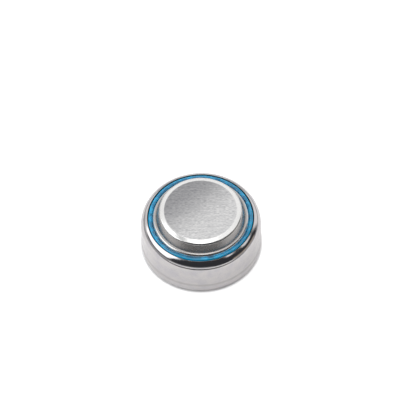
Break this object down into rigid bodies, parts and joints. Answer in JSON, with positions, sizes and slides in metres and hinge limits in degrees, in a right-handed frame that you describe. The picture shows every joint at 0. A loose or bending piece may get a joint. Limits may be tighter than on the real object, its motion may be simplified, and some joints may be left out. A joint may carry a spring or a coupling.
{
  "type": "zinc-air button cell",
  "caption": "Round button cell: a steel can crimped over a blue plastic gasket onto a stepped cap, with air holes in the base and its electrodes inside.",
  "frame": {"origin": "centre of the flat of the positive base, on the cell's axis", "axes": "+Z along the cell's axis, from the positive base up to the negative cap"},
  "size_m": [0.0116, 0.0116, 0.0054],
  "materials": {
    "can_steel": "satin nickel plate",
    "cap_steel": "brushed nickel face on copper-lined steel",
    "gasket_nylon": "glossy blue nylon",
    "diffusion_paper": "matte porous paper",
    "ptfe_film": "matte white film",
    "cathode_mix": "matte pressed carbon",
    "screen_nickel": "bare nickel",
    "separator_film": "matte microporous film",
    "zinc_gel": "dull grey gelled powder"
  },
  "bodies": {
    "root": {"cathode_can": "can_steel", "air_diffusion_paper": "diffusion_paper", "ptfe_membrane": "ptfe_film", "ptfe_laminate": "ptfe_film", "air_cathode": "cathode_mix", "nickel_screen": "screen_nickel", "separator": "separator_film", "gasket": "gasket_nylon", "zinc_anode": "zinc_gel", "anode_cap": "cap_steel"}
  },
  "joints": []
}
